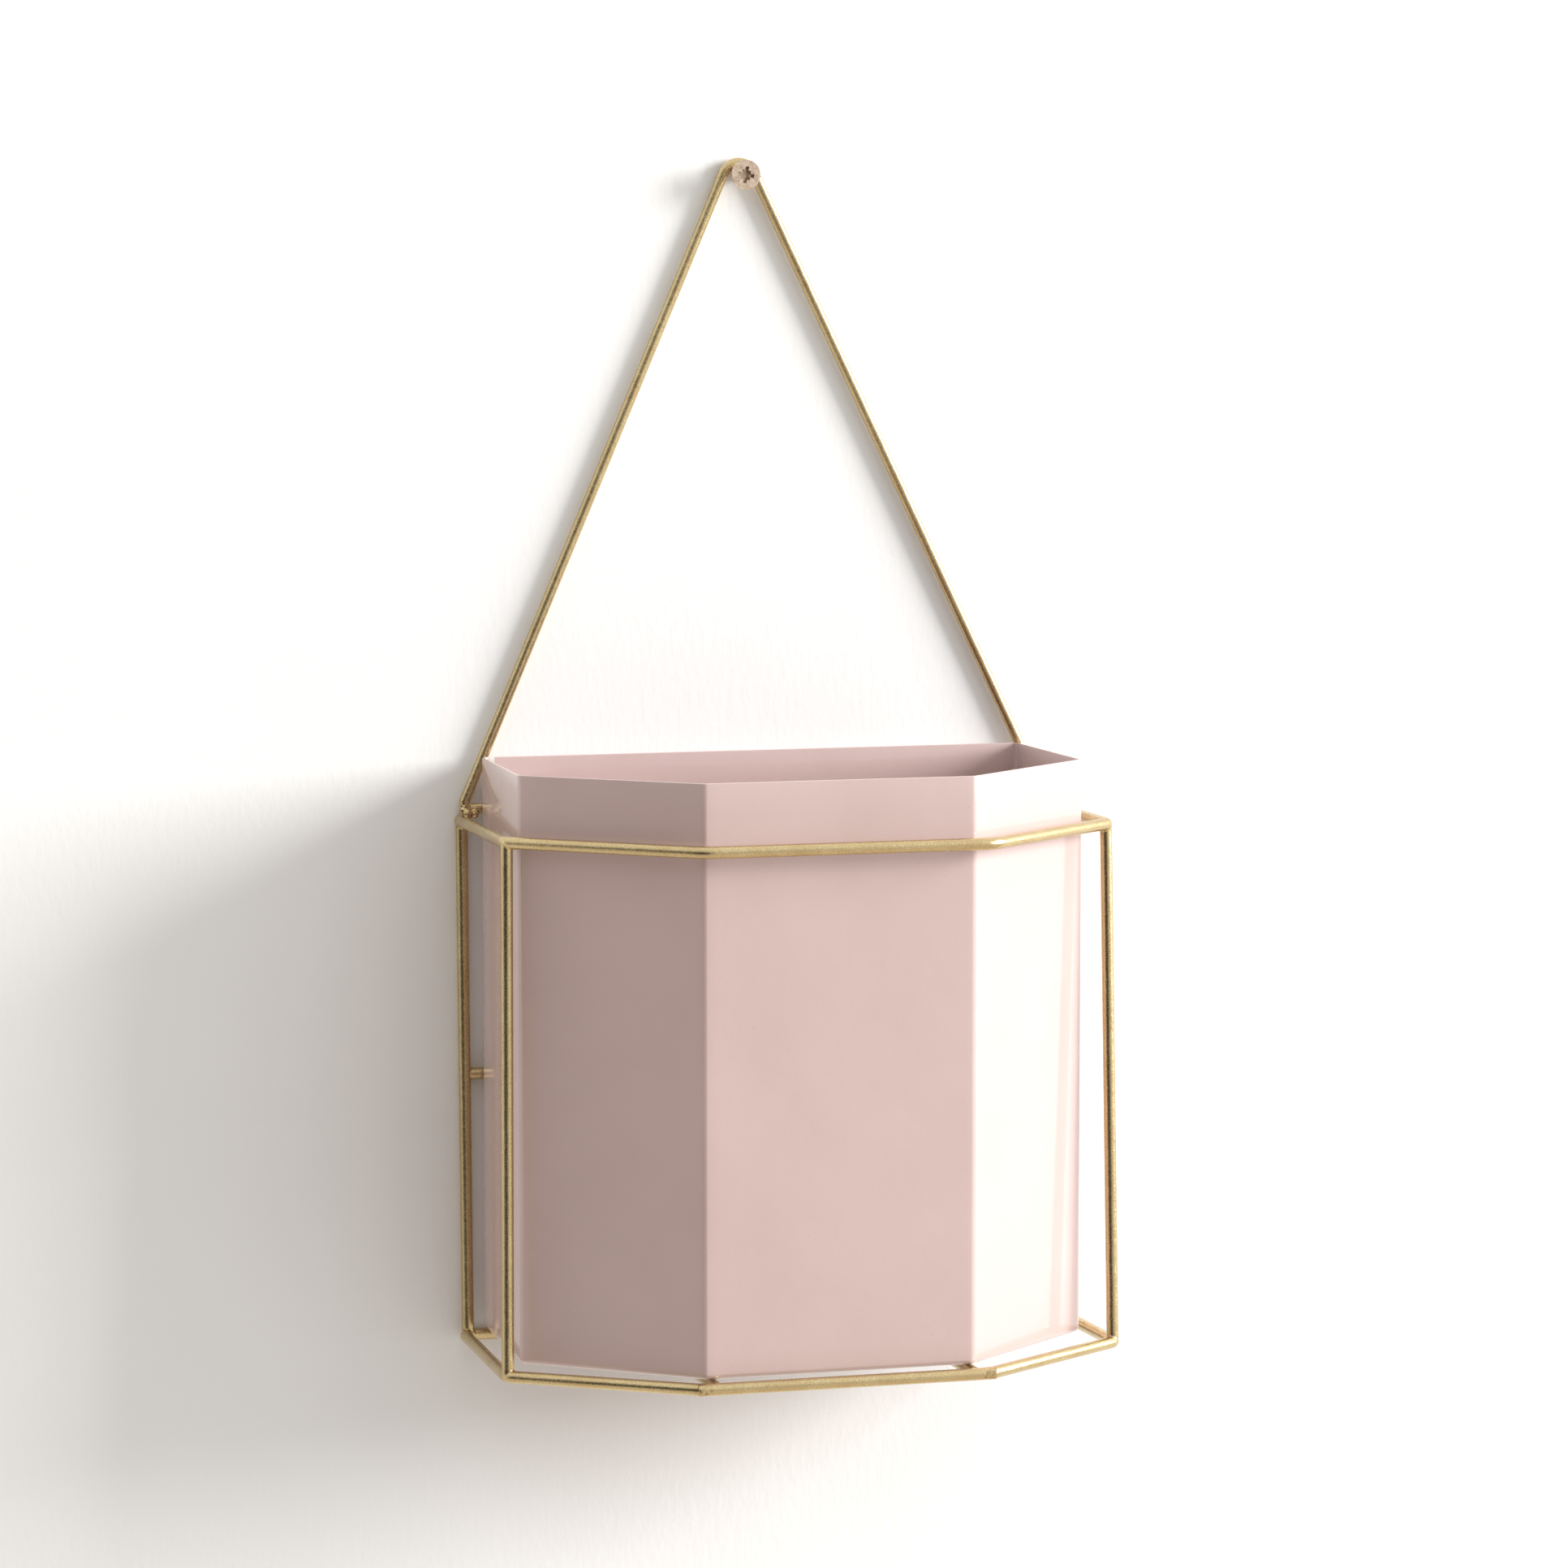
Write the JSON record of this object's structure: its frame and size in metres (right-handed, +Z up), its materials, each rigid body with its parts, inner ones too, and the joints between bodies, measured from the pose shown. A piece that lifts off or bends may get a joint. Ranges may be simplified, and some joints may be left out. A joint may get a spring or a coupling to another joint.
{
  "type": "wall planter",
  "caption": "Folded sheet-metal pot with a faceted front, standing loose in a welded wire cage that hangs from a wall screw by a wire triangle.",
  "frame": {"origin": "where the screw's axis meets the wall", "axes": "+Z up, +Y into the wall along the screw, +X to the right for someone who faces the wall"},
  "size_m": [0.1858, 0.1307, 0.3433],
  "materials": {
    "gold_paint": "satin metallic gold paint on steel wire, slightly grainy",
    "pink_paint": "glossy dusty-pink paint on sheet steel, with a fine orange peel",
    "zinc_plate": "yellow zinc plate, mottled"
  },
  "bodies": {
    "screw": {"wall_screw": "zinc_plate"},
    "frame": {"hanger_wire": "gold_paint", "top_ring": "gold_paint", "bottom_ring": "gold_paint", "upright_back_left": "gold_paint", "upright_front_left": "gold_paint", "upright_front_right": "gold_paint", "upright_back_right": "gold_paint", "back_bar": "gold_paint", "base_rod_left": "gold_paint", "base_rod_right": "gold_paint", "weld_top_back_left": "gold_paint", "weld_top_front_left": "gold_paint", "weld_top_front_right": "gold_paint", "weld_top_back_right": "gold_paint", "weld_bottom_back_left": "gold_paint", "weld_bottom_front_left": "gold_paint", "weld_bottom_front_right": "gold_paint", "weld_bottom_back_right": "gold_paint", "weld_bar_left": "gold_paint", "weld_bar_right": "gold_paint", "weld_rod_left_front": "gold_paint", "weld_rod_left_back": "gold_paint", "weld_rod_right_front": "gold_paint", "weld_rod_right_back": "gold_paint", "weld_hanger_left": "gold_paint", "weld_hanger_right": "gold_paint"},
    "pot": {"pot_wall": "pink_paint", "pot_base": "pink_paint", "pot_seam_weld": "pink_paint"}
  },
  "joints": [
    {"name": "frame_swing", "type": "hinge", "parent": "screw", "child": "frame", "pos_m": [0, 0, 0], "axis": [0, 1, 0], "range_deg": [-60, 60]},
    {"name": "pot_lift", "type": "slide", "parent": "frame", "child": "pot", "axis": [0, 0, 1], "range_m": [0, 0.155]}
  ]
}
